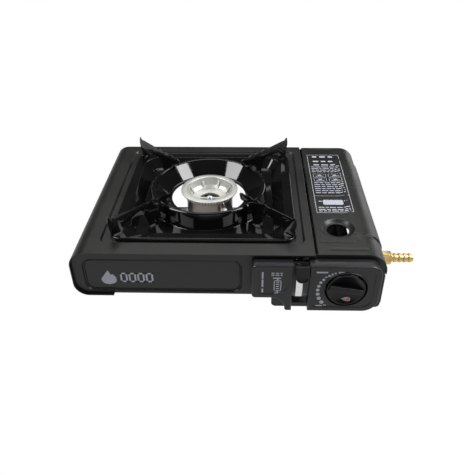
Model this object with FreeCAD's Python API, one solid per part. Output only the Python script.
"""Portable single-burner gas stove for a butane cartridge or a gas hose, piece by piece.

Every shape is drawn in a working frame: X = 0 at the middle of the casing, Y = 0 at the casing's
front edge, Z = 0 on the table. X runs to the right, Y to the back and Z up. save() then moves each
piece so that the origin is under the middle of the whole stove, on the table. Sizes are millimetres.
"""
import FreeCAD, Part
import math
import os

V = FreeCAD.Vector
X_AXIS = V(1, 0, 0)
Y_AXIS = V(0, 1, 0)
Z_AXIS = V(0, 0, 1)

# ---- driving sizes: casing -------------------------------------------------------------------
SHEET = 1.0                    # steel sheet of the casing and its panels
CASING_HALF = 170.0            # half the casing's width
CASING_DEPTH = 257.0
CASING_TOP = 76.0              # top face above the table
CASING_BOTTOM = 18.0           # underside of the left part's curl
CASING_EDGE = 93.0             # X where the casing's top stops beside the lid
SHOULDER_LEFT = 18.0
CURL_RADIUS = 16.0
CURL_END = -127.0
LIP = 3.5                      # how far the panels stand back from the casing's edge
DEEP_LEFT = 48.0               # X where the panels step down to the cartridge bay
DEEP_BOTTOM = 2.0
FLOOR_Z = 3.0
FLOOR_RIGHT = 153.0
PARTITION_X = 66.5

# ---- driving sizes: pan well, pan and burner --------------------------------------------------
PAN_X = -28.0
PAN_Y = 128.0
PAN_HALF = 103.0
PAN_CORNER = 14.0
PAN_TOP = 78.0
PAN_SHEET = 1.0
MOAT_TOP_HALF = 92.0
MOAT_FLOOR_HALF = 78.0
MOAT_FLOOR = 68.0
RING_FOOT_R = 74.0
RING_CREST_R = 66.5
RING_CREST_Z = 88.5
PAN_HOLE_R = 45.5
PAN_HOLE_Z = 72.0
WELL = (-141.0, 84.0, 20.0, 243.5)   # pressed recess round the pan: left, right, front, back
WELL_CORNER = 9.0
WELL_DROP = 2.5
WELL_OPENING_HALF = 97.5
BURNER_X = -27.0
BURNER_Y = 128.0
BURNER_R = 28.2
RIM_R = 34.7
RIM_TOP = 83.0
PORT_COUNT = 56
SUPPORT_SHEET = 1.2

# ---- driving sizes: cartridge side ------------------------------------------------------------
LID_LEFT = 95.0
LID_FRONT = 2.0
LID_BACK = 255.0
LID_SHOULDER = 22.0
LID_BOTTOM = 50.5
HINGE_X = 172.6
HINGE_Z = 49.0
HINGE_PIN_R = 1.5
RUN_GAP = 0.05                 # radial running clearance of pins and spindles
FINGER_X = 122.0
FINGER_Y = 52.0
FINGER_R = 12.5
DIMPLE_R = 18.5
CARTRIDGE_X = 126.5
CARTRIDGE_Z = 38.5
CARTRIDGE_R = 33.25

# ---- driving sizes: controls -------------------------------------------------------------------
PANEL_FRONT = -10.0
PANEL_LEFT = 26.0
PANEL_RIGHT = 163.0
PANEL_TOP = 70.5
PANEL_LOW_LEFT = 25.5
PANEL_LOW_RIGHT = 7.5
PANEL_WALL = 2.5
CHANNEL_LEFT = 69.5
CHANNEL_RIGHT = 87.0
POCKET_R = 22.7                # round pocket that the knob sits in
POCKET_WALL = 1.5
POCKET_FLOOR = 0.7             # Y of the pocket's floor
KNOB_R = 20.6
KNOB_BACK = -0.3
KNOB_FACE = -11.0
KNOB_GRIP = -12.5
KNOB_DISH_R = 19.2
KNOB_DISH = 5.0                # depth of the dished face at its middle
KNOB_BAR = 4.2                 # half the bar's thickness at its root
KNOB_TILT = 10.0               # degrees that the grip slopes down to the right at rest
SOCKET_END = -8.3              # Y where the spindle ends inside the knob
SPINDLE_R = 3.0
CAM_RISE = 4.0
CAM_TURN = 150.0               # degrees of knob travel
LEVER_Y = 36.0
LEVER_Z = 44.0
LEVER_STRIP_R = 46.0
LEVER_WEB_X = 75.0
LEVER_WEB = 1.8
DRIVE_ARM = 20.0
BAR_X = 79.5
INLET_Y = 44.0
INLET_Z = 41.0
BARB_TIP_X = 209.0
BARB_RIBS = 4
BARB_PITCH = 5.6

TAB_FRONT = -14.9
RIVET_HEAD = 1.2               # how far the bridge's rivets stand out of the casing's left wall

HINGES = (80.0, 215.0)           # rows along Y of the lid's two hinges
FOOT_ROWS = (38.0, 222.0)        # rows along Y of the feet
RIVET_ROWS = (120.0, 136.0)      # rows of the burner bridge's rivets
SCREW_ROWS = (11.0, CASING_DEPTH - 11.0)   # rows of the screws at the casing's corners
PANEL_CLEAR = 6.0                # how far the lid's fold stops short of its ends
PANEL_SCREWS = ((40.0, 60.0), (97.0, 61.0), (155.0, 16.0))   # X, Z of the screws behind the control panel
SHOULDER_FRONT = 37.6            # raised shoulder of the lid: front end, length, start, full height
SHOULDER_LENGTH = 180.4
SHOULDER_START = 133.0
SHOULDER_FULL = 140.0
SHOULDER_RISE = 1.6              # over the lid's top
SHOULDER_OUT = 1.2               # beyond the lid's side
SHOULDER_BOTTOM = 55.0
LID_GROOVES = ((102.0, 136.0, 25.0, 1.4), (107.0, 137.0, 251.0, 1.2), (108.6, 151.0, 12.0, 2.6))
GROOVE_DEPTH = 0.6
FIELD = (-158.0, 16.0, 21.6, 66.5)     # field pressed into the panels: left, right, low, high
FIELD_CORNER = 11.0
FOOT_X = 143.0
FOOT_R = 9.0
RIGHT_FOOT_R = 7.0
GUARD_R = 43.0                   # guard behind the lever
GUARD_WALL = 1.6
CUP_BOTTOM = 44.5                # burner body
CUP_TOP = 76.6
AIR_HOLE_R = 12.5                # air tube up the middle of the burner
REGULATOR_SCREW_X = (110.0, 143.0)
REGULATOR_SCREW_Z = 24.0
CAM_BASE_R = 8.0                 # radius of the spindle's cam at rest
JET_Z = 53.0                     # height of the gas jet's axis
JET_DIR = V(97, -70, 0).normalize()   # from the burner towards the jet
JET_WALL_Y = BURNER_Y + JET_DIR.y / JET_DIR.x * (PARTITION_X + SHEET / 2 - BURNER_X)
LEAD_WALL_Y = 65.0               # where the igniter lead passes the partition
ELECTRODE_ANGLE = -55.0          # degrees round the burner

OVERALL_MID_X = (BARB_TIP_X - CASING_HALF - RIVET_HEAD) / 2
OVERALL_MID_Y = (CASING_DEPTH + TAB_FRONT) / 2
ORIGIN = V(OVERALL_MID_X, OVERALL_MID_Y, 0)


# ---- helpers -----------------------------------------------------------------------------------
def place(plane, a, b, level):
    """A point of a flat outline: 'xz' and 'yz' are upright planes, 'xy' is level."""
    if plane == "xz":
        return V(a, level, b)
    if plane == "yz":
        return V(level, a, b)
    return V(a, b, level)


def outline(corners, plane, level):
    """Closed wire through corners (a, b, radius), each rounded to its radius."""
    points = [place(plane, a, b, level) for a, b, _ in corners]
    radii = [radius for _, _, radius in corners]
    starts = []
    ends = []
    mids = []
    for i, point in enumerate(points):
        back = (points[i - 1] - point).normalize()
        ahead = (points[(i + 1) % len(points)] - point).normalize()
        half = back.getAngle(ahead) / 2
        if radii[i] == 0 or half > math.pi / 2 - 1e-4:
            starts.append(point)
            ends.append(point)
            mids.append(None)
            continue
        run = radii[i] / math.tan(half)
        bisector = (back + ahead).normalize()
        starts.append(point + back * run)
        ends.append(point + ahead * run)
        mids.append(point + bisector * (radii[i] / math.sin(half) - radii[i]))
    edges = []
    for i, mid in enumerate(mids):
        if mid is not None:
            edges.append(Part.Arc(starts[i], mid, ends[i]).toShape())
        following = starts[(i + 1) % len(points)]
        if (following - ends[i]).Length > 1e-6:
            edges.append(Part.makeLine(ends[i], following))
    return Part.Wire(edges)


def prism(corners, plane, level, depth):
    """Solid under an outline, pushed depth along the plane's normal."""
    normal = {"xz": Y_AXIS, "yz": X_AXIS, "xy": Z_AXIS}[plane]
    return Part.Face(outline(corners, plane, level)).extrude(normal * depth)


def box(x0, x1, y0, y1, z0, z1):
    return Part.makeBox(x1 - x0, y1 - y0, z1 - z0, V(x0, y0, z0))


def rod(radius, base, axis, length):
    return Part.makeCylinder(radius, length, base, axis)


def tube(outer, inner, base, axis, length):
    return rod(outer, base, axis, length).cut(rod(inner, base, axis, length))


def square(half, corner, x, y):
    """Corners of a rounded square round (x, y), for outline() in the level plane."""
    return [(x - half, y - half, corner), (x + half, y - half, corner),
            (x + half, y + half, corner), (x - half, y + half, corner)]


def turned(profile, x, y):
    """Solid turned about the upright line through (x, y) from (radius, z) points."""
    points = [V(x + r, y, z) for r, z in profile]
    face = Part.Face(Part.makePolygon(points + points[:1]))
    return face.revolve(V(x, y, 0), Z_AXIS, 360)


def turned_about_x(profile, y, z):
    """Solid turned about the line along X through (y, z) from (x, radius) points."""
    points = [V(x, y, z + r) for x, r in profile]
    face = Part.Face(Part.makePolygon(points + points[:1]))
    return face.revolve(V(0, y, z), X_AXIS, 360)


def frustum(lower, upper):
    """Solid between two outlines with the same number of edges."""
    return Part.makeLoft([lower, upper], True, True)


def fuse(first, *others):
    return first.fuse(list(others)).removeSplitter()


def soft_path(points):
    """Straight runs joined by tangent arcs as large as the shorter run beside each allows."""
    edges = []
    radii = []
    here = points[0]
    for before, corner, after in zip(points, points[1:], points[2:]):
        back = before - corner
        ahead = after - corner
        shorter = min(back.Length, ahead.Length)
        back = back.normalize()
        ahead = ahead.normalize()
        half = back.getAngle(ahead) / 2
        run = 0.45 * shorter
        radius = run * math.tan(half)
        start = corner + back * run
        end = corner + ahead * run
        mid = corner + (back + ahead).normalize() * (radius / math.sin(half) - radius)
        edges.append(Part.makeLine(here, start))
        edges.append(Part.Arc(start, mid, end).toShape())
        radii.append(round(radius, 1))
        here = end
    edges.append(Part.makeLine(here, points[-1]))
    return Part.Wire(edges), radii


def swept_rod(name, points, radius):
    """Round bar along soft_path(points); prints its bend radii and checks its volume."""
    path, radii = soft_path([V(*p) for p in points])
    heading = V(*points[1]) - V(*points[0])
    circle = Part.Wire(Part.makeCircle(radius, V(*points[0]), heading))
    solid = path.makePipeShell([circle], True, False)
    expected = math.pi * radius ** 2 * path.Length
    print(f"{name}: length {path.Length:.1f}, bend radii {radii}, "
          f"volume {solid.Volume / expected:.3f} of expected")
    return solid


def save(name, *solids):
    """Writes one piece, or a group of equal pieces, in the stove's own frame."""
    shape = solids[0] if len(solids) == 1 else Part.makeCompound(list(solids))
    shape = shape.copy()
    shape.translate(-ORIGIN)
    broken = [s for s in shape.Solids if not s.isValid()]
    print(f"{name}: {len(shape.Solids)} solid(s), {shape.Volume / 1000:.2f} cm3"
          + (" NOT VALID" if broken or not shape.Solids else ""))
    shape.exportStep(f"parts/{name}.step")


# ---- casing and panels --------------------------------------------------------------------------
def top_casing():
    """Left wall, top and bottom curl bent from one sheet, with the pressed well for the pan."""
    left = -CASING_HALF
    inner_left = left + SHEET
    outer = prism([(left, CASING_BOTTOM, CURL_RADIUS), (CASING_EDGE, CASING_BOTTOM, 0),
                   (CASING_EDGE, CASING_TOP, 2), (left, CASING_TOP, SHOULDER_LEFT)],
                  "xz", 0, CASING_DEPTH)
    inner = prism([(inner_left, CASING_BOTTOM + SHEET, CURL_RADIUS - SHEET),
                   (CASING_EDGE - SHEET, CASING_BOTTOM + SHEET, 0),
                   (CASING_EDGE - SHEET, CASING_TOP - SHEET, 1),
                   (inner_left, CASING_TOP - SHEET, SHOULDER_LEFT - SHEET)],
                  "xz", -1, CASING_DEPTH + 2)
    shell = outer.cut(inner)
    open_base = box(CURL_END, CASING_EDGE + 1, -1, CASING_DEPTH + 1, 0, CASING_BOTTOM + 2)
    low_flange = box(CASING_EDGE - 3, CASING_EDGE + 1, -1, CASING_DEPTH + 1, 0, CASING_TOP - 7.5)
    shell = shell.cut(open_base).cut(low_flange)
    for y0 in (-1, CASING_DEPTH - PANEL_CLEAR):
        shell = shell.cut(box(CASING_EDGE - 1, CASING_EDGE + 1, y0, y0 + PANEL_CLEAR + 1, 0,
                              CASING_TOP - SHEET))
    for y in RIVET_ROWS:
        shell = shell.cut(rod(1.5, V(-CASING_HALF - 1, y, 52), X_AXIS, 3))
    for y in SCREW_ROWS:
        shell = shell.cut(rod(1.4, V(-141, y, CASING_BOTTOM - 1), Z_AXIS, 3))
    wx0, wx1, wy0, wy1 = WELL
    well = [(wx0, wy0, WELL_CORNER), (wx1, wy0, WELL_CORNER),
            (wx1, wy1, WELL_CORNER), (wx0, wy1, WELL_CORNER)]
    t = SHEET
    inside = [(wx0 + t, wy0 + t, WELL_CORNER - t), (wx1 - t, wy0 + t, WELL_CORNER - t),
              (wx1 - t, wy1 - t, WELL_CORNER - t), (wx0 + t, wy1 - t, WELL_CORNER - t)]
    ledge_top = CASING_TOP - WELL_DROP
    tray = prism(well, "xy", ledge_top - SHEET, WELL_DROP + SHEET)
    tray = tray.cut(prism(inside, "xy", ledge_top, WELL_DROP + 1))
    opening = prism(square(WELL_OPENING_HALF, 12, PAN_X, PAN_Y), "xy", ledge_top - 5, 12)
    shell = shell.cut(prism(well, "xy", CASING_TOP - 3, 5))
    return fuse(shell, tray).cut(opening)


def panel_corners(gap):
    """Outline of the front and rear panels, gap inside the casing's inner faces."""
    side = CASING_HALF - SHEET - gap
    top = CASING_TOP - SHEET - gap
    return [(-side, CASING_BOTTOM + SHEET + gap, CURL_RADIUS - 1.5),
            (DEEP_LEFT, CASING_BOTTOM + SHEET + gap, 0),
            (DEEP_LEFT, DEEP_BOTTOM, 5),
            (side, DEEP_BOTTOM, 5),
            (side, top, LID_SHOULDER - 1.2),
            (-side, top, SHOULDER_LEFT - 1.2)]


def pressed_field():
    """The rounded rectangle pressed into the left half of a panel."""
    left, right, low, high = FIELD
    r = FIELD_CORNER
    return [(left, low, r), (right, low, r), (right, high, r), (left, high, r)]


def front_panel():
    panel = prism(panel_corners(0.2), "xz", LIP, SHEET)
    field = prism(pressed_field(), "xz", LIP, 2.5)
    hollow = prism([(-157, 22.6, 10), (15, 22.6, 10), (15, 65.5, 10), (-157, 65.5, 10)],
                   "xz", LIP - 1, 2.5)
    panel = fuse(panel, field).cut(hollow)
    bottom_flange = box(-152, -130, LIP, LIP + 12, CASING_BOTTOM + 1.2, CASING_BOTTOM + 2.2)
    top_flange = box(-148, 90, LIP, LIP + 9, CASING_TOP - 2.2, CASING_TOP - 1.2)
    panel = fuse(panel, bottom_flange, top_flange)
    lever_window = box(70.5, 86, LIP - 1, LIP + 3, 7.5, 71)
    spindle_hole = rod(7, V(CARTRIDGE_X, LIP - 1, CARTRIDGE_Z), Y_AXIS, 4)
    panel = panel.cut(lever_window).cut(spindle_hole)
    for x, z in PANEL_SCREWS:
        panel = panel.cut(rod(1.6, V(x, LIP - 1, z), Y_AXIS, 4))
    for x in REGULATOR_SCREW_X:
        panel = panel.cut(rod(2.1, V(x, LIP - 1, REGULATOR_SCREW_Z), Y_AXIS, 4))
    return panel.cut(rod(1.7, V(-141, SCREW_ROWS[0], 10), Z_AXIS, 14))


def rear_panel():
    back = CASING_DEPTH - LIP
    panel = prism(panel_corners(0.2), "xz", back - SHEET, SHEET)
    field = prism(pressed_field(), "xz", back - 2.5, 2.5)
    hollow = prism([(-157, 22.6, 10), (15, 22.6, 10), (15, 65.5, 10), (-157, 65.5, 10)],
                   "xz", back - 1.5, 2.5)
    panel = fuse(panel, field).cut(hollow)
    bottom_flange = box(-152, -130, back - 12, back, CASING_BOTTOM + 1.2, CASING_BOTTOM + 2.2)
    panel = fuse(panel, bottom_flange)
    for i in range(6):
        x = -130 + i * 24
        slot = prism([(x, 40, 2.4), (x + 15, 40, 2.4), (x + 15, 45, 2.4), (x, 45, 2.4)],
                     "xz", back - 4, 6)
        panel = panel.cut(slot)
    return panel.cut(rod(1.7, V(-141, SCREW_ROWS[1], 10), Z_AXIS, 14))


def side_panel():
    """Lower right wall, with its flanges, the hose hole and the fixed hinge knuckles."""
    right = CASING_HALF
    y0 = LIP + SHEET + 0.2
    y1 = CASING_DEPTH - y0
    wall = box(right - SHEET, right, y0, y1, 8, HINGE_Z - 2.5)
    front = box(right - 11, right, y0, y0 + SHEET, 8, HINGE_Z - 2.5)
    back = box(right - 11, right, y1 - SHEET, y1, 8, HINGE_Z - 2.5)
    foot = box(right - 9, right, y0, y1, 8, 8 + SHEET)
    panel = fuse(wall, front, back, foot)
    for y in HINGES:
        for start in (y - 15, y + 5.3):
            leaf = box(right - SHEET, HINGE_X, start, start + 9.7, HINGE_Z - 2.5, HINGE_Z - 1.5)
            roll = rod(2.5, V(HINGE_X, start, HINGE_Z), Y_AXIS, 9.7)
            panel = fuse(panel, leaf, roll)
        panel = panel.cut(rod(HINGE_PIN_R, V(HINGE_X, y - 16, HINGE_Z), Y_AXIS, 32))
    return panel.cut(rod(6.6, V(right - 3, INLET_Y, INLET_Z), X_AXIS, 5))


def lid_hinge_pins():
    return [rod(HINGE_PIN_R, V(HINGE_X, y - 15, HINGE_Z), Y_AXIS, 30) for y in HINGES]


def partition_wall():
    """Sheet between the burner bay and the cartridge bay."""
    y0 = LIP + SHEET + 0.2
    y1 = CASING_DEPTH - y0
    wall = box(PARTITION_X, PARTITION_X + SHEET, y0, y1, FLOOR_Z + SHEET, 72)
    foot = box(PARTITION_X - 8, PARTITION_X + SHEET, y0, y1, FLOOR_Z + SHEET, FLOOR_Z + 2 * SHEET)
    wall = fuse(wall, foot)
    wall = wall.cut(rod(8, V(PARTITION_X - 3, JET_WALL_Y, JET_Z), X_AXIS, 7))
    wall = wall.cut(rod(3, V(PARTITION_X - 3, LEAD_WALL_Y, 22), X_AXIS, 7))
    for i in range(5):
        y = 100 + i * 28
        wall = wall.cut(box(PARTITION_X - 1, PARTITION_X + 2, y, y + 14, 30, 35))
    return wall


def compartment_floor():
    """Bottom of the cartridge bay, with the two ribs that the cartridge lies on."""
    y0 = LIP + SHEET + 0.2
    y1 = CASING_DEPTH - y0
    floor = box(DEEP_LEFT + 0.5, FLOOR_RIGHT, y0, y1, FLOOR_Z, FLOOR_Z + SHEET)
    side = box(DEEP_LEFT + 0.5, DEEP_LEFT + 0.5 + SHEET, y0, y1, FLOOR_Z, 16)
    hem = box(FLOOR_RIGHT - SHEET, FLOOR_RIGHT, y0, y1, FLOOR_Z, FLOOR_Z + 4)
    rise = math.sqrt(CARTRIDGE_R ** 2 - 14.5 ** 2)
    rib_top = CARTRIDGE_Z - rise - 0.3
    ribs = [box(x - 1.5, x + 1.5, 75, 225, FLOOR_Z, rib_top)
            for x in (CARTRIDGE_X - 14.5, CARTRIDGE_X + 14.5)]
    return fuse(floor, side, hem, *ribs)


def feet_left():
    profile = [(0, 0), (FOOT_R - 1, 0), (FOOT_R, 1.2), (FOOT_R - 2, CASING_BOTTOM), (0, CASING_BOTTOM)]
    return [turned(profile, -FOOT_X, y) for y in FOOT_ROWS]


def feet_right():
    profile = [(0, 0), (RIGHT_FOOT_R, 0), (RIGHT_FOOT_R, FLOOR_Z), (0, FLOOR_Z)]
    return [turned(profile, FOOT_X, y) for y in FOOT_ROWS]


def casing_screws():
    """Screws up through the curl into the bottom flanges of the two panels."""
    screws = []
    for y in SCREW_ROWS:
        head = rod(3, V(-141, y, CASING_BOTTOM - 1.8), Z_AXIS, 1.8)
        shank = rod(1.4, V(-141, y, CASING_BOTTOM - 1), Z_AXIS, 6)
        screws.append(fuse(head, shank))
    return screws


# ---- burner --------------------------------------------------------------------------------------
def burner_bridge():
    """Strap across the open base that carries the burner."""
    left = -CASING_HALF + SHEET
    strap = box(left, PARTITION_X, 112, 144, 43, 44.5)
    left_tab = box(left, left + 1.5, 112, 144, 43, 58)
    right_tab = box(PARTITION_X - 1.5, PARTITION_X, 112, 144, 43, 58)
    edges = [box(left + 8, PARTITION_X - 8, y, y + 1.5, 38, 44.5) for y in (112, 142.5)]
    bridge = fuse(strap, left_tab, right_tab, *edges)
    air = rod(12.5, V(BURNER_X, BURNER_Y, 42), Z_AXIS, 4)
    arms = [box(BURNER_X - 13, BURNER_X + 13, BURNER_Y - 2.5, BURNER_Y + 2.5, 41, 47),
            rod(5, V(BURNER_X, BURNER_Y, 41), Z_AXIS, 6)]
    bridge = bridge.cut(air.cut(fuse(*arms)))
    for y in RIVET_ROWS:
        bridge = bridge.cut(rod(1.5, V(left - 1, y, 52), X_AXIS, 3))
    return bridge


def bridge_rivets():
    rivets = []
    for y in RIVET_ROWS:
        head = rod(2.6, V(-CASING_HALF - RIVET_HEAD, y, 52), X_AXIS, RIVET_HEAD)
        shank = rod(1.5, V(-CASING_HALF - 0.5, y, 52), X_AXIS, 4.2)
        rivets.append(fuse(head, shank))
    return rivets


def burner_post():
    return tube(3.6, 1.9, V(BURNER_X, BURNER_Y, 44.5), Z_AXIS, 22)


def burner_direction(distance, z):
    """Point at a distance from the burner's middle towards the gas jet."""
    return V(BURNER_X + JET_DIR.x * distance, BURNER_Y + JET_DIR.y * distance, z)


def burner_body():
    """Brushed cup with an air tube up its middle and a hole for the mixing tube."""
    wall = SHEET
    cup = turned([(AIR_HOLE_R, CUP_BOTTOM), (BURNER_R, CUP_BOTTOM), (BURNER_R, CUP_TOP - wall),
                  (BURNER_R + 3, CUP_TOP - wall), (BURNER_R + 3, CUP_TOP), (BURNER_R - wall, CUP_TOP),
                  (BURNER_R - wall, CUP_BOTTOM + wall), (AIR_HOLE_R + wall, CUP_BOTTOM + wall),
                  (AIR_HOLE_R + wall, 66), (AIR_HOLE_R, 66)], BURNER_X, BURNER_Y)
    return cup.cut(rod(7.5, burner_direction(18, JET_Z), JET_DIR, 14))


def burner_cap():
    """Cast ring with the flame ports under its rim, the ribbed funnel and three cross arms."""
    cap = turned([(12.5, 66), (12.5, 68.5), (21.8, 70.4), (25, 73), (27.7, 81.6), (28.7, 82.8),
                  (30.5, RIM_TOP), (32.6, 82.9), (34, 82.5), (RIM_R, 81.6), (RIM_R, 80.8),
                  (33.6, 79.9), (31.2, 79.4), (31.2, 76.6), (28.9, 76.6), (28.9, 78.4),
                  (27.6, 78), (26.2, 73.2), (23.2, 70.6), (13.6, 67.2), (13.6, 66)],
                 BURNER_X, BURNER_Y)
    port = box(BURNER_X + 28, BURNER_X + 32.5, BURNER_Y - 0.8, BURNER_Y + 0.8, 77.2, 79)
    ports = []
    for i in range(PORT_COUNT):
        ports.append(port.rotated(V(BURNER_X, BURNER_Y, 0), Z_AXIS, i * 360 / PORT_COUNT))
    cap = cap.cut(Part.makeCompound(ports))
    fins = []
    for i in range(8):
        fin = box(BURNER_X + 21, BURNER_X + 27, BURNER_Y - 1.3, BURNER_Y + 1.3, 70.5, 77)
        fins.append(fin.rotated(V(BURNER_X, BURNER_Y, 0), Z_AXIS, 22.5 + i * 45))
    arms = []
    for angle in (0, 180, 270):
        arm = box(BURNER_X, BURNER_X + 13, BURNER_Y - 1.8, BURNER_Y + 1.8, 66.5, 68.5)
        arms.append(arm.rotated(V(BURNER_X, BURNER_Y, 0), Z_AXIS, angle))
    hub = rod(4.2, V(BURNER_X, BURNER_Y, 66.5), Z_AXIS, 2)
    cap = fuse(cap, hub, *arms, *fins)
    return cap.cut(rod(2.1, V(BURNER_X, BURNER_Y, 60), Z_AXIS, 12))


def burner_screw():
    head = turned([(0, 68.5), (3.6, 68.5), (3.6, 69.6), (2.6, 70.9), (0, 71.3)], BURNER_X, BURNER_Y)
    slot = box(BURNER_X - 4, BURNER_X + 4, BURNER_Y - 0.5, BURNER_Y + 0.5, 70.3, 72)
    return fuse(head.cut(slot), rod(1.9, V(BURNER_X, BURNER_Y, 52), Z_AXIS, 17))


def mixing_tube():
    """Tube from the burner's side to the jet, belled at its mouth."""
    start = burner_direction(24, JET_Z)
    pipe = rod(7.5, start, JET_DIR, 72)
    bell = Part.makeCone(7.5, 10.5, 9, burner_direction(94, JET_Z), JET_DIR)
    bore = rod(6.5, start, JET_DIR, 74)
    mouth = Part.makeCone(6.5, 9.6, 9.5, burner_direction(94, JET_Z), JET_DIR)
    outside = fuse(pipe, bell)
    clear = rod(13.6, V(BURNER_X, BURNER_Y, 40), Z_AXIS, 40)
    return outside.cut(bore).cut(mouth).cut(clear)


def gas_jet():
    """Brass injector held on the end of the gas pipe."""
    nose = Part.makeCone(1.6, 4, 4, burner_direction(107, JET_Z), JET_DIR)
    body = rod(4.5, burner_direction(111, JET_Z), JET_DIR, 9)
    bore = rod(0.5, burner_direction(106, JET_Z), JET_DIR, 15)
    return fuse(nose, body).cut(bore)


def gas_pipe():
    start = burner_direction(120, JET_Z)
    bend = burner_direction(136, JET_Z)
    points = [(start.x, start.y, start.z), (bend.x, bend.y, bend.z),
              (90, 34.5, 50.8), (96.5, 29.5, 47), (104.5, 29.5, 47)]
    return swept_rod("gas_pipe", points, 3)


def electrode_bracket():
    """Clip on the burner body that holds the ceramic sleeve."""
    angle = math.radians(ELECTRODE_ANGLE)
    centre = V(BURNER_X + 34.5 * math.cos(angle), BURNER_Y + 34.5 * math.sin(angle), 58)
    band = tube(4.6, 3, centre, Z_AXIS, 5)
    arm = box(BURNER_X + BURNER_R - 0.05, BURNER_X + 31, BURNER_Y - 3, BURNER_Y + 3, 58, 63)
    arm = arm.rotated(V(BURNER_X, BURNER_Y, 0), Z_AXIS, ELECTRODE_ANGLE)
    arm = arm.cut(rod(BURNER_R, V(BURNER_X, BURNER_Y, 50), Z_AXIS, 20))
    return fuse(band, arm.cut(rod(3, V(centre.x, centre.y, 50), Z_AXIS, 20)))


def electrode_insulator():
    angle = math.radians(ELECTRODE_ANGLE)
    base = V(BURNER_X + 34.5 * math.cos(angle), BURNER_Y + 34.5 * math.sin(angle), 51)
    return tube(3, 0.8, base, Z_AXIS, 18)


def electrode():
    """Wire up through the sleeve, bent towards the flame ports."""
    angle = math.radians(ELECTRODE_ANGLE)
    out = V(math.cos(angle), math.sin(angle), 0)
    middle = V(BURNER_X, BURNER_Y, 0)
    route = [(34.5, 47), (34.5, 73.5), (31.9, 78.2)]
    points = [middle + out * r + V(0, 0, z) for r, z in route]
    return swept_rod("electrode", [(p.x, p.y, p.z) for p in points], 0.8)


def igniter_lead():
    """High-tension lead from the igniter to the foot of the electrode."""
    angle = math.radians(ELECTRODE_ANGLE)
    foot_x = BURNER_X + 34.5 * math.cos(angle)
    foot_y = BURNER_Y + 34.5 * math.sin(angle)
    points = [(97, 15.5, 38.5), (97, 25, 38.5), (95, 38, 31), (88, 50, 24), (78, 59, 22),
              (66, LEAD_WALL_Y, 22), (50, 72, 23), (32, 80, 25), (15, 88, 28), (2, 95, 32),
              (foot_x, foot_y, 38), (foot_x, foot_y, 47)]
    return swept_rod("igniter_lead", points, 1.3)


# ---- pan and supports -------------------------------------------------------------------------------
def drip_pan():
    """Square enamelled pan: rim, sloping moat, floor and the ring that stands round the burner."""
    t = PAN_SHEET
    top = prism(square(PAN_HALF, PAN_CORNER, PAN_X, PAN_Y), "xy", PAN_TOP - t, t)
    ledge = CASING_TOP - WELL_DROP
    skirt = prism(square(PAN_HALF, PAN_CORNER, PAN_X, PAN_Y), "xy", ledge, PAN_TOP - ledge)
    skirt = skirt.cut(prism(square(PAN_HALF - t, PAN_CORNER - t, PAN_X, PAN_Y), "xy", ledge - 1,
                            PAN_TOP - ledge + 1 - t))

    def slope(grow, shift):
        low = outline(square(MOAT_FLOOR_HALF + grow, 12, PAN_X, PAN_Y), "xy", MOAT_FLOOR + shift)
        high = outline(square(MOAT_TOP_HALF + grow, 22, PAN_X, PAN_Y), "xy", PAN_TOP + shift)
        return frustum(low, high)

    moat = slope(0.6, -t)
    room = slope(0, 0)
    pan = fuse(top, skirt, moat).cut(room)
    ring = [(RING_FOOT_R, MOAT_FLOOR), (72.2, 70), (70.2, 84.5), (69, 87.2), (RING_CREST_R, RING_CREST_Z),
            (64, 87.6), (62, 85), (50.5, 73.6), (48.5, 72.4), (PAN_HOLE_R, PAN_HOLE_Z),
            (PAN_HOLE_R, PAN_HOLE_Z - t), (48.9, 71.4), (51.2, 72.7), (62.8, 84.2), (64.6, 86.6),
            (RING_CREST_R, 87.4), (68.3, 86.4), (69.2, 84.3), (71.2, 69.6), (71.8, MOAT_FLOOR - t),
            (RING_FOOT_R + 1, MOAT_FLOOR - t), (RING_FOOT_R + 1, MOAT_FLOOR)]
    hole = rod(RING_FOOT_R - 1, V(PAN_X, PAN_Y, MOAT_FLOOR - 5), Z_AXIS, 12)
    return fuse(pan.cut(hole), turned(ring, PAN_X, PAN_Y))


def pan_support(quarter):
    """One upright fin on a diagonal of the pan, standing on the moat floor and the rim."""
    low = MOAT_FLOOR
    high = PAN_TOP
    corners = [(141.5, 105, 0.8), (137.6, 101, 1), (133.5, 101.5, 1), (109, 100.6, 1)]
    for tooth in (108, 96, 84, 72):
        corners += [(tooth, 101.2, 0.6), (tooth - 3, 100, 1), (tooth - 9, 99.9, 1)]
    corners += [(60, 100.4, 0.6), (55.5, 99.4, 2), (57.5, 91.5, 2), (70, 90.2, 3), (74.4, 84.5, 2),
                (78.3, 71, 1), (79.5, low, 0), (92.3, low, 0), (93.4, 77, 1), (98, 88, 3),
                (107, 89, 4), (122.5, 88, 3), (125.8, 80.5, 1), (127, high, 0), (139.5, high, 0),
                (140.4, 80, 1), (143, 96, 3)]
    wire = outline(corners, "xz", -SUPPORT_SHEET / 2)
    fin = Part.Face(wire).extrude(V(0, SUPPORT_SHEET, 0))
    foot_low = box(81, 91, -4, 4, low, low + SUPPORT_SHEET)
    foot_high = box(128.5, 138, -4, 4, high, high + SUPPORT_SHEET)
    fin = fuse(fin, foot_low, foot_high)
    fin.rotate(V(0, 0, 0), Z_AXIS, 45 + 90 * quarter)
    fin.translate(V(PAN_X, PAN_Y, 0))
    return fin


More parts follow.
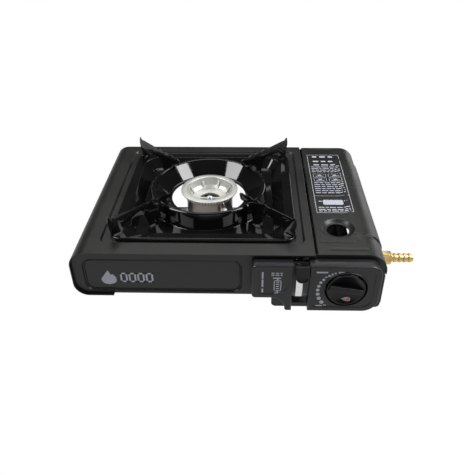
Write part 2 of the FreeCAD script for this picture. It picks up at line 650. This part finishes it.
# ---- lid ----------------------------------------------------------------------------------------------
def cartridge_lid():
    """Bent sheet lid with a raised shoulder over the cartridge, ribs, finger hole and knuckles."""
    right = CASING_HALF
    t = SHEET
    length = LID_BACK - LID_FRONT

    def bend(inset, y0, depth):
        low = LID_BOTTOM - 20
        return prism([(LID_LEFT + inset, low, 0), (right - inset, low, 0),
                      (right - inset, CASING_TOP - inset, LID_SHOULDER - inset),
                      (LID_LEFT + inset, CASING_TOP - inset, 1.5 - inset if inset < 1.5 else 0)],
                     "xz", y0, depth)

    def shoulder(inset, y0, depth):
        low = SHOULDER_BOTTOM + inset
        top = CASING_TOP + SHOULDER_RISE - inset
        side = right + SHOULDER_OUT - inset
        return prism([(SHOULDER_START, low, 0), (side, low, 0), (side, top, 20 - inset),
                      (SHOULDER_FULL + 0.2 * inset, top, 2),
                      (SHOULDER_START, CASING_TOP - 2 - 1.1 * inset, 0)], "xz", y0, depth)

    outside = fuse(bend(0, LID_FRONT, length), shoulder(0, SHOULDER_FRONT, SHOULDER_LENGTH))
    lid = outside.cut(bend(t, LID_FRONT - 1, length + 2))
    lid = lid.cut(shoulder(t, SHOULDER_FRONT + t, SHOULDER_LENGTH - 2 * t))
    lid = lid.cut(box(LID_LEFT - 1, right - 20, 0, LID_BACK + 1, 20, CASING_TOP - 5))
    for y0 in (0, LID_BACK - PANEL_CLEAR):
        lid = lid.cut(box(LID_LEFT - 1, LID_LEFT + 2, y0, y0 + PANEL_CLEAR + 1, 20, CASING_TOP - SHEET))
    lid = lid.cut(box(right - 25, right + 5, 0, LID_BACK + 1, 20, LID_BOTTOM))
    dimple = turned([(FINGER_R, 72.6), (DIMPLE_R - 3, 73.4), (DIMPLE_R, CASING_TOP),
                     (DIMPLE_R + 1.2, CASING_TOP), (DIMPLE_R + 1.2, CASING_TOP - t),
                     (DIMPLE_R + 0.6, CASING_TOP - t), (DIMPLE_R - 2.4, 72.4), (FINGER_R, 71.6)],
                    FINGER_X, FINGER_Y)
    lid = lid.cut(rod(DIMPLE_R + 0.6, V(FINGER_X, FINGER_Y, 70), Z_AXIS, 10))
    lid = fuse(lid, dimple)
    for x0, x1, y, radius in LID_GROOVES:
        groove = rod(radius, V(x0, y, CASING_TOP + radius - GROOVE_DEPTH), X_AXIS, x1 - x0)
        lid = lid.cut(groove)
    for y in HINGES:
        wall = box(right - t, HINGE_X, y - 5, y + 5, HINGE_Z + 1.5, HINGE_Z + 2.5)
        roll = rod(2.5, V(HINGE_X, y - 5, HINGE_Z), Y_AXIS, 10)
        bore = rod(HINGE_PIN_R + RUN_GAP, V(HINGE_X, y - 6, HINGE_Z), Y_AXIS, 12)
        lid = fuse(lid, wall, roll).cut(bore)
    return lid


# ---- gas side --------------------------------------------------------------------------------------------
def regulator_body():
    """Cast block behind the knob, with the nose that guides the spindle."""
    block = prism([(104.5, 18, 6), (148.5, 18, 6), (148.5, 59, 6), (104.5, 59, 6)], "xz", 18, 32)
    nose = rod(6.5, V(CARTRIDGE_X, 13, CARTRIDGE_Z), Y_AXIS, 6)
    body = fuse(block, nose)
    body = body.cut(rod(SPINDLE_R + RUN_GAP, V(CARTRIDGE_X, 12, CARTRIDGE_Z), Y_AXIS, 19))
    body = body.cut(rod(4, V(142, INLET_Y, INLET_Z), X_AXIS, 8))
    bosses = []
    for x in REGULATOR_SCREW_X:
        boss = rod(4, V(x, LIP + SHEET, REGULATOR_SCREW_Z), Y_AXIS, 18 - LIP - SHEET)
        bosses.append(boss)
    body = fuse(body, *bosses)
    for x in REGULATOR_SCREW_X:
        body = body.cut(rod(1.9, V(x, LIP, REGULATOR_SCREW_Z), Y_AXIS, 13))
    return body


def regulator_screws():
    screws = []
    for x in REGULATOR_SCREW_X:
        head = rod(3.4, V(x, LIP - 2, REGULATOR_SCREW_Z), Y_AXIS, 2)
        shank = rod(1.9, V(x, LIP - 1, REGULATOR_SCREW_Z), Y_AXIS, 12)
        screws.append(fuse(head, shank))
    return screws


def regulator_cover():
    """Domed steel cover over the diaphragm, on top of the block."""
    return turned([(0, 59), (18, 59), (18, 61), (15.5, 61.6), (14, 65.5), (0, 67)],
                  CARTRIDGE_X, 34)


def cartridge_coupling():
    """Steel collar that the cartridge's valve is pushed into, with its locating tongue."""
    collar = tube(15, 6, V(CARTRIDGE_X, 50, CARTRIDGE_Z), Y_AXIS, 5)
    tongue = box(CARTRIDGE_X - 2.5, CARTRIDGE_X + 2.5, 50, 58, CARTRIDGE_Z + 15.5, CARTRIDGE_Z + 18)
    root = box(CARTRIDGE_X - 2.5, CARTRIDGE_X + 2.5, 50, 53, CARTRIDGE_Z + 12, CARTRIDGE_Z + 18)
    return fuse(collar, tongue, root)


def coupling_seal():
    return tube(5.6, 2.4, V(CARTRIDGE_X, 50, CARTRIDGE_Z), Y_AXIS, 3)


def igniter_unit():
    """Sealed ignition block beside the spindle; its plunger bears on the spindle's cam."""
    block = box(88, 110, 5.5, 15.5, 33.5, 43.5)
    lug = box(90, 100, 4.5, 5.5, 31, 46)
    bore = rod(3 + RUN_GAP, V(101, 10.5, CARTRIDGE_Z), X_AXIS, 10)
    return fuse(block, lug).cut(bore)


def igniter_plunger():
    return rod(3, V(107, 10.5, CARTRIDGE_Z), X_AXIS, CARTRIDGE_X - CAM_BASE_R - 0.35 - 107)


def valve_spindle():
    """Spindle with its flatted front end and the spiral cam that works the igniter."""
    shaft = rod(SPINDLE_R, V(CARTRIDGE_X, SOCKET_END, CARTRIDGE_Z), Y_AXIS, 28 - SOCKET_END)
    steps = 30
    points = []
    for i in range(steps + 1):
        turn = math.radians(CAM_TURN * i / steps)
        radius = CAM_BASE_R + CAM_RISE * i / steps
        angle = math.pi - turn
        points.append(V(CARTRIDGE_X + radius * math.cos(angle), 8.8,
                        CARTRIDGE_Z + radius * math.sin(angle)))
    spiral = Part.BSplineCurve()
    spiral.interpolate(points)
    first = points[0]
    last = points[-1]
    below = V(CARTRIDGE_X, 8.8, CARTRIDGE_Z - CAM_BASE_R)
    side = V(CARTRIDGE_X + CAM_BASE_R, 8.8, CARTRIDGE_Z)
    low_mid = V(CARTRIDGE_X - CAM_BASE_R * math.cos(math.pi / 4), 8.8,
                CARTRIDGE_Z - CAM_BASE_R * math.sin(math.pi / 4))
    low_mid_right = V(CARTRIDGE_X + CAM_BASE_R * math.cos(math.pi / 4), 8.8,
                      CARTRIDGE_Z - CAM_BASE_R * math.sin(math.pi / 4))
    wire = Part.Wire([spiral.toShape(), Part.makeLine(last, side),
                      Part.Arc(side, low_mid_right, below).toShape(),
                      Part.Arc(below, low_mid, first).toShape()])
    cam = Part.Face(wire).extrude(V(0, 3.4, 0))
    return fuse(shaft, cam)


def inlet_hex():
    """Hexagon with the stem that screws into the regulator."""
    radius = 13.5 / 2 / math.cos(math.radians(30))
    corners = []
    for i in range(6):
        angle = math.radians(60 * i)
        corners.append((INLET_Y + radius * math.cos(angle), INLET_Z + radius * math.sin(angle), 0.4))
    nut = prism(corners, "yz", 173.5, 10.5)
    chamfer = turned_about_x([(173.5, 0), (173.5, 7.2), (174.2, 7.8), (183.3, 7.8), (184, 7.2),
                              (184, 0)], INLET_Y, INLET_Z)
    stem = rod(4, V(144, INLET_Y, INLET_Z), X_AXIS, 30)
    collar = rod(6.4, V(170.2, INLET_Y, INLET_Z), X_AXIS, 3.5)
    bore = rod(1.8, V(143, INLET_Y, INLET_Z), X_AXIS, 42)
    return fuse(nut.common(chamfer), stem, collar).cut(bore)


def inlet_locknut():
    radius = 13 / 2 / math.cos(math.radians(30))
    corners = []
    for i in range(6):
        angle = math.radians(60 * i)
        corners.append((INLET_Y + radius * math.cos(angle), INLET_Z + radius * math.sin(angle), 0.3))
    return prism(corners, "yz", 148.5, 4.5).cut(rod(4, V(148, INLET_Y, INLET_Z), X_AXIS, 6))


def hose_barb():
    """Tail that the hose is pushed over, with its ribs."""
    start = 184.0
    profile = [(start, 0), (start, 5.2), (start + 1, 5.2), (start + 1, 4.1)]
    for i in range(BARB_RIBS):
        x = BARB_TIP_X - (BARB_RIBS - i) * BARB_PITCH
        profile += [(x, 4.1), (x + 0.6, 5.2), (x + 2.2, 5.2), (x + BARB_PITCH - 0.3, 4.1)]
    profile += [(BARB_TIP_X, 3.7), (BARB_TIP_X, 0)]
    body = turned_about_x(profile, INLET_Y, INLET_Z)
    return body.cut(rod(2.4, V(start - 1, INLET_Y, INLET_Z), X_AXIS, BARB_TIP_X - start + 2))


# ---- controls ---------------------------------------------------------------------------------
def panel_face(inset):
    """Outline of the control panel, inset all round."""
    low_left = PANEL_LOW_LEFT + inset
    low_right = PANEL_LOW_RIGHT + inset
    curve_x = 62.0 + inset
    return [(PANEL_LEFT + inset, low_left, 4), (curve_x, low_left, 15 + inset),
            (curve_x, low_right, 2.4), (PANEL_RIGHT - inset, low_right, 17 - inset),
            (PANEL_RIGHT - inset, PANEL_TOP - inset, 13 - inset),
            (PANEL_LEFT + inset, PANEL_TOP - inset, 5 - inset / 2)]


def control_panel():
    """Moulded housing over the front of the cartridge bay, with the lever channel."""
    depth = LIP - PANEL_FRONT
    outer = prism(panel_face(0), "xz", PANEL_FRONT, depth)
    chamfer = prism([(PANEL_FRONT - 1, PANEL_TOP - 1.9, 0), (PANEL_FRONT - 1, PANEL_TOP + 5, 0),
                     (PANEL_FRONT + 9, PANEL_TOP + 5, 0), (PANEL_FRONT + 9, PANEL_TOP, 0)],
                    "yz", PANEL_LEFT - 1, PANEL_RIGHT - PANEL_LEFT + 2)
    outer = outer.cut(chamfer)
    front_edges = []
    for edge in outer.Edges:
        bounds = edge.BoundBox
        if bounds.YMax < PANEL_FRONT + 0.5 and bounds.YLength < 0.5:
            front_edges.append(edge)
    outer = outer.makeFillet(1.6, front_edges)
    hollow = prism(panel_face(PANEL_WALL), "xz", PANEL_FRONT + PANEL_WALL, depth)
    hollow = hollow.cut(box(0, 200, -20, 10, PANEL_TOP - PANEL_WALL - 2, 90))
    shell = outer.cut(hollow)
    left_field = prism([(33, 30.8, 3), (48, 30.8, 0.5), (67.3, 30.8, 19), (67.3, 66, 1.5), (33, 66, 3)],
                       "xz", PANEL_FRONT - 1, 1.7)
    right_field = prism([(91.5, 13, 2), (156.5, 13, 13), (156.5, 66, 10), (91.5, 66, 2)],
                        "xz", PANEL_FRONT - 1, 1.7)
    shell = shell.cut(left_field).cut(right_field)
    channel = box(CHANNEL_LEFT, CHANNEL_RIGHT, -20, 10, 0, 90)
    wall_left = box(CHANNEL_LEFT - 2, CHANNEL_LEFT, PANEL_FRONT + 1, LIP, PANEL_LOW_RIGHT + 2, 67)
    wall_right = box(CHANNEL_RIGHT, CHANNEL_RIGHT + 2, PANEL_FRONT + 1, LIP, PANEL_LOW_RIGHT + 2, 67)
    shell = fuse(shell.cut(channel), wall_left, wall_right)
    guard = tube(GUARD_R, GUARD_R - GUARD_WALL, V(CHANNEL_LEFT - 1, LEVER_Y, LEVER_Z), X_AXIS,
                 CHANNEL_RIGHT - CHANNEL_LEFT + 2)
    window = prism([(-12, 19, 0), (LIP, 19, 0), (LIP, 68, 0), (-12, 68, 0)], "yz",
                   CHANNEL_LEFT - 1, CHANNEL_RIGHT - CHANNEL_LEFT + 2)
    guard = guard.common(window)
    top_bridge = box(CHANNEL_LEFT - 1, CHANNEL_RIGHT + 1, -2.2, LIP, 66, 68)
    web_slot = box(73.9, 77.9, -20, 10, 20.5, 66.2)
    shell = fuse(shell, guard, top_bridge).cut(web_slot)
    pocket_end = POCKET_FLOOR + POCKET_WALL
    pocket_front = PANEL_FRONT - 0.3
    pocket = rod(POCKET_R + POCKET_WALL, V(CARTRIDGE_X, pocket_front, CARTRIDGE_Z), Y_AXIS,
                 pocket_end - pocket_front)
    room = rod(POCKET_R, V(CARTRIDGE_X, PANEL_FRONT - 2, CARTRIDGE_Z), Y_AXIS,
               POCKET_FLOOR - PANEL_FRONT + 2)
    shell = fuse(shell, pocket).cut(room)
    shell = shell.cut(rod(SPINDLE_R + 0.6, V(CARTRIDGE_X, -20, CARTRIDGE_Z), Y_AXIS, 30))
    bosses = []
    for x, z in PANEL_SCREWS:
        bosses.append(tube(3.6, 1.4, V(x, PANEL_FRONT + 2, z), Y_AXIS, LIP - PANEL_FRONT - 2))
    shell = fuse(shell, *bosses)
    for x, z in PANEL_SCREWS:
        shell = shell.cut(rod(1.4, V(x, PANEL_FRONT + 3, z), Y_AXIS, 20))
    for x in REGULATOR_SCREW_X:
        shell = shell.cut(rod(4, V(x, LIP - 3, REGULATOR_SCREW_Z), Y_AXIS, 10))
    return shell


def control_panel_screws():
    screws = []
    for x, z in PANEL_SCREWS:
        head = rod(2.8, V(x, LIP + SHEET, z), Y_AXIS, 1.6)
        shank = rod(1.4, V(x, -5, z), Y_AXIS, LIP + SHEET + 5.5)
        screws.append(fuse(head, shank))
    return screws


def knob():
    """Round knob with a dished face and a bar across it to turn it by."""
    centre = V(CARTRIDGE_X, KNOB_BACK, CARTRIDGE_Z)
    body = rod(KNOB_R, centre, -Y_AXIS, KNOB_BACK - KNOB_FACE)
    rim = [edge for edge in body.Edges if abs(edge.CenterOfMass.y - KNOB_FACE) < 0.1]
    body = body.makeFillet(1.2, rim)
    ball_r = (KNOB_DISH_R ** 2 + KNOB_DISH ** 2) / (2 * KNOB_DISH)
    ball = Part.makeSphere(ball_r, V(CARTRIDGE_X, KNOB_FACE + KNOB_DISH - ball_r, CARTRIDGE_Z))
    body = body.cut(ball)
    root = KNOB_FACE + KNOB_DISH + 1
    bar = prism([(-KNOB_BAR, root, 0), (KNOB_BAR, root, 0), (KNOB_BAR - 0.9, KNOB_GRIP, 1.1),
                 (0.9 - KNOB_BAR, KNOB_GRIP, 1.1)], "xy", 0, 38)
    bar.rotate(V(0, 0, 0), Y_AXIS, 90)
    bar.translate(V(CARTRIDGE_X - 19, 0, CARTRIDGE_Z))
    keep = rod(KNOB_DISH_R + 0.3, V(CARTRIDGE_X, KNOB_GRIP - 1, CARTRIDGE_Z), Y_AXIS, 20)
    bar = bar.common(keep)
    bar.rotate(V(CARTRIDGE_X, 0, CARTRIDGE_Z), Y_AXIS, KNOB_TILT)
    socket = rod(SPINDLE_R, V(CARTRIDGE_X, SOCKET_END, CARTRIDGE_Z), Y_AXIS, KNOB_BACK - SOCKET_END)
    return fuse(body, bar).cut(socket)


def around_lever(radius, angle, x):
    """Point at a radius and an angle above the horizontal, in front of the lever's pin."""
    turn = math.radians(angle)
    return V(x, LEVER_Y - radius * math.cos(turn), LEVER_Z + radius * math.sin(turn))


def sector(inner, outer, low, high, x0, x1):
    """Ring sector in front of the lever's pin, between two angles."""
    def arc(radius, start, end):
        return Part.Arc(around_lever(radius, start, x0), around_lever(radius, (start + end) / 2, x0),
                        around_lever(radius, end, x0)).toShape()
    edges = [arc(outer, low, high),
             Part.makeLine(around_lever(outer, high, x0), around_lever(inner, high, x0)),
             arc(inner, high, low),
             Part.makeLine(around_lever(inner, low, x0), around_lever(outer, low, x0))]
    return Part.Face(Part.Wire(edges)).extrude(V(x1 - x0, 0, 0))


def lever_arm():
    """Plated lever: hub, web through the slot, the bright strip in front, and the drive arm."""
    x0 = LEVER_WEB_X
    x1 = LEVER_WEB_X + LEVER_WEB
    hub = rod(5.5, V(73, LEVER_Y, LEVER_Z), X_AXIS, 8.5)
    web = sector(3, LEVER_STRIP_R, 2, 27, x0, x1)
    strip = sector(LEVER_STRIP_R - 0.6, LEVER_STRIP_R + 0.8, -22, 11, 73, 80)
    drive = box(x0, x1, LEVER_Y - 3.5, LEVER_Y + 3.5, LEVER_Z, LEVER_Z + DRIVE_ARM + 3)
    pin = rod(1.5, V(x0, LEVER_Y, LEVER_Z + DRIVE_ARM), X_AXIS, 8.5)
    arm = fuse(hub, web, strip, drive, pin)
    return arm.cut(rod(2 + RUN_GAP, V(70, LEVER_Y, LEVER_Z), X_AXIS, 16))


def lever_tab():
    """Thumb piece: flat above, round below, with a thicker lower rim."""
    left = 72.0
    right = 86.3
    middle = (left + right) / 2
    radius = (right - left) / 2
    low = 50.3 + radius
    edges = [Part.makeLine(V(left, -9.9, low), V(left, -9.9, 69)),
             Part.makeLine(V(left, -9.9, 69), V(right, -9.9, 69)),
             Part.makeLine(V(right, -9.9, 69), V(right, -9.9, low)),
             Part.Arc(V(right, -9.9, low), V(middle, -9.9, low - radius),
                      V(left, -9.9, low)).toShape()]
    plate = Part.Face(Part.Wire(edges)).extrude(V(0, -3.6, 0))
    slope = prism([(-14, 58, 0), (-11.2, 70, 0), (-20, 70, 0), (-20, 58, 0)], "yz", 60, 40)
    tab = plate.cut(slope)
    grip = rod(radius, V(middle, -9.9, low), -Y_AXIS, 5)
    grip = grip.cut(rod(radius - 1.6, V(middle, -8, low + 1.2), -Y_AXIS, 8))
    grip = grip.cut(box(left - 1, right + 1, -16, 0, low - 1, 80))
    tab = fuse(tab, grip)
    return tab.cut(sector(3, LEVER_STRIP_R + 0.8, -22, 30, 73, 80))


def lever_bracket():
    """U-shaped bracket on the floor that holds the lever's pin."""
    y0 = 29.0
    y1 = 42.0
    floor = FLOOR_Z + SHEET
    base = box(70, 84, y0, y1, floor, floor + 1.2)
    cheeks = [box(x, x + 1.2, y0, y1, floor, 48.5) for x in (70, 82.8)]
    bracket = fuse(base, *cheeks)
    return bracket.cut(rod(2, V(69, LEVER_Y, LEVER_Z), X_AXIS, 16))


def lever_pin():
    head = rod(3, V(69, LEVER_Y, LEVER_Z), X_AXIS, 1)
    return fuse(head, rod(2, V(69.5, LEVER_Y, LEVER_Z), X_AXIS, 15))


def draw_bar():
    """Flat bar that the lever pulls forward; the drive pin runs in its upright slot."""
    bar = box(BAR_X, BAR_X + 1.5, 30, 243.5, 57.5, 67.5)
    return bar.cut(box(BAR_X - 1, BAR_X + 3, LEVER_Y - 2.1, LEVER_Y + 2.1, 58.9, 66.1))


def cartridge_pusher():
    """Plate behind the cartridge, bent from the end of the draw bar."""
    tab = box(BAR_X + 1.5, 92, 243.5, 245, 57.5, 67.5)
    hook = box(BAR_X, BAR_X + 1.5, 243.5, 245, 57.5, 67.5)
    plate = prism([(92, 24, 4), (150, 24, 4), (150, 62, 4), (92, 67.5, 0)], "xz", 243.5, 1.5)
    return fuse(hook, tab, plate)


def bar_guides():
    """Two clips on the partition that carry the draw bar."""
    guides = []
    wall = PARTITION_X + SHEET
    for y in (95, 200):
        base = box(wall, BAR_X + 4, y, y + 14, 55.7, 56.9)
        root = box(wall, wall + 1.2, y, y + 14, 48, 56.9)
        stop = box(BAR_X + 2.2, BAR_X + 4, y, y + 14, 55.7, 69.5)
        keeper = box(BAR_X - 2.4, BAR_X - 0.6, y, y + 14, 55.7, 69.5)
        guides.append(fuse(base, root, stop, keeper))
    return guides


os.makedirs("parts", exist_ok=True)

save("top_casing", top_casing())
save("front_panel", front_panel())
save("rear_panel", rear_panel())
save("side_panel", side_panel())
save("partition_wall", partition_wall())
save("compartment_floor", compartment_floor())
save("feet_left", *feet_left())
save("feet_right", *feet_right())
save("casing_screws", *casing_screws())
save("lid_hinge_pins", *lid_hinge_pins())
save("burner_bridge", burner_bridge())
save("bridge_rivets", *bridge_rivets())
save("burner_post", burner_post())
save("burner_body", burner_body())
save("burner_cap", burner_cap())
save("burner_screw", burner_screw())
save("mixing_tube", mixing_tube())
save("gas_jet", gas_jet())
save("gas_pipe", gas_pipe())
save("electrode_bracket", electrode_bracket())
save("electrode_insulator", electrode_insulator())
save("electrode", electrode())
save("igniter_lead", igniter_lead())
save("drip_pan", drip_pan())
for quarter, corner in enumerate(("back_right", "back_left", "front_left", "front_right")):
    save(f"pan_support_{corner}", pan_support(quarter))
save("cartridge_lid", cartridge_lid())
save("regulator_body", regulator_body())
save("regulator_screws", *regulator_screws())
save("regulator_cover", regulator_cover())
save("cartridge_coupling", cartridge_coupling())
save("coupling_seal", coupling_seal())
save("igniter_unit", igniter_unit())
save("igniter_plunger", igniter_plunger())
save("valve_spindle", valve_spindle())
save("inlet_hex", inlet_hex())
save("inlet_locknut", inlet_locknut())
save("hose_barb", hose_barb())
save("control_panel", control_panel())
save("control_panel_screws", *control_panel_screws())
save("knob", knob())
save("lever_arm", lever_arm())
save("lever_tab", lever_tab())
save("lever_bracket", lever_bracket())
save("lever_pin", lever_pin())
save("draw_bar", draw_bar())
save("cartridge_pusher", cartridge_pusher())
save("bar_guides", *bar_guides())
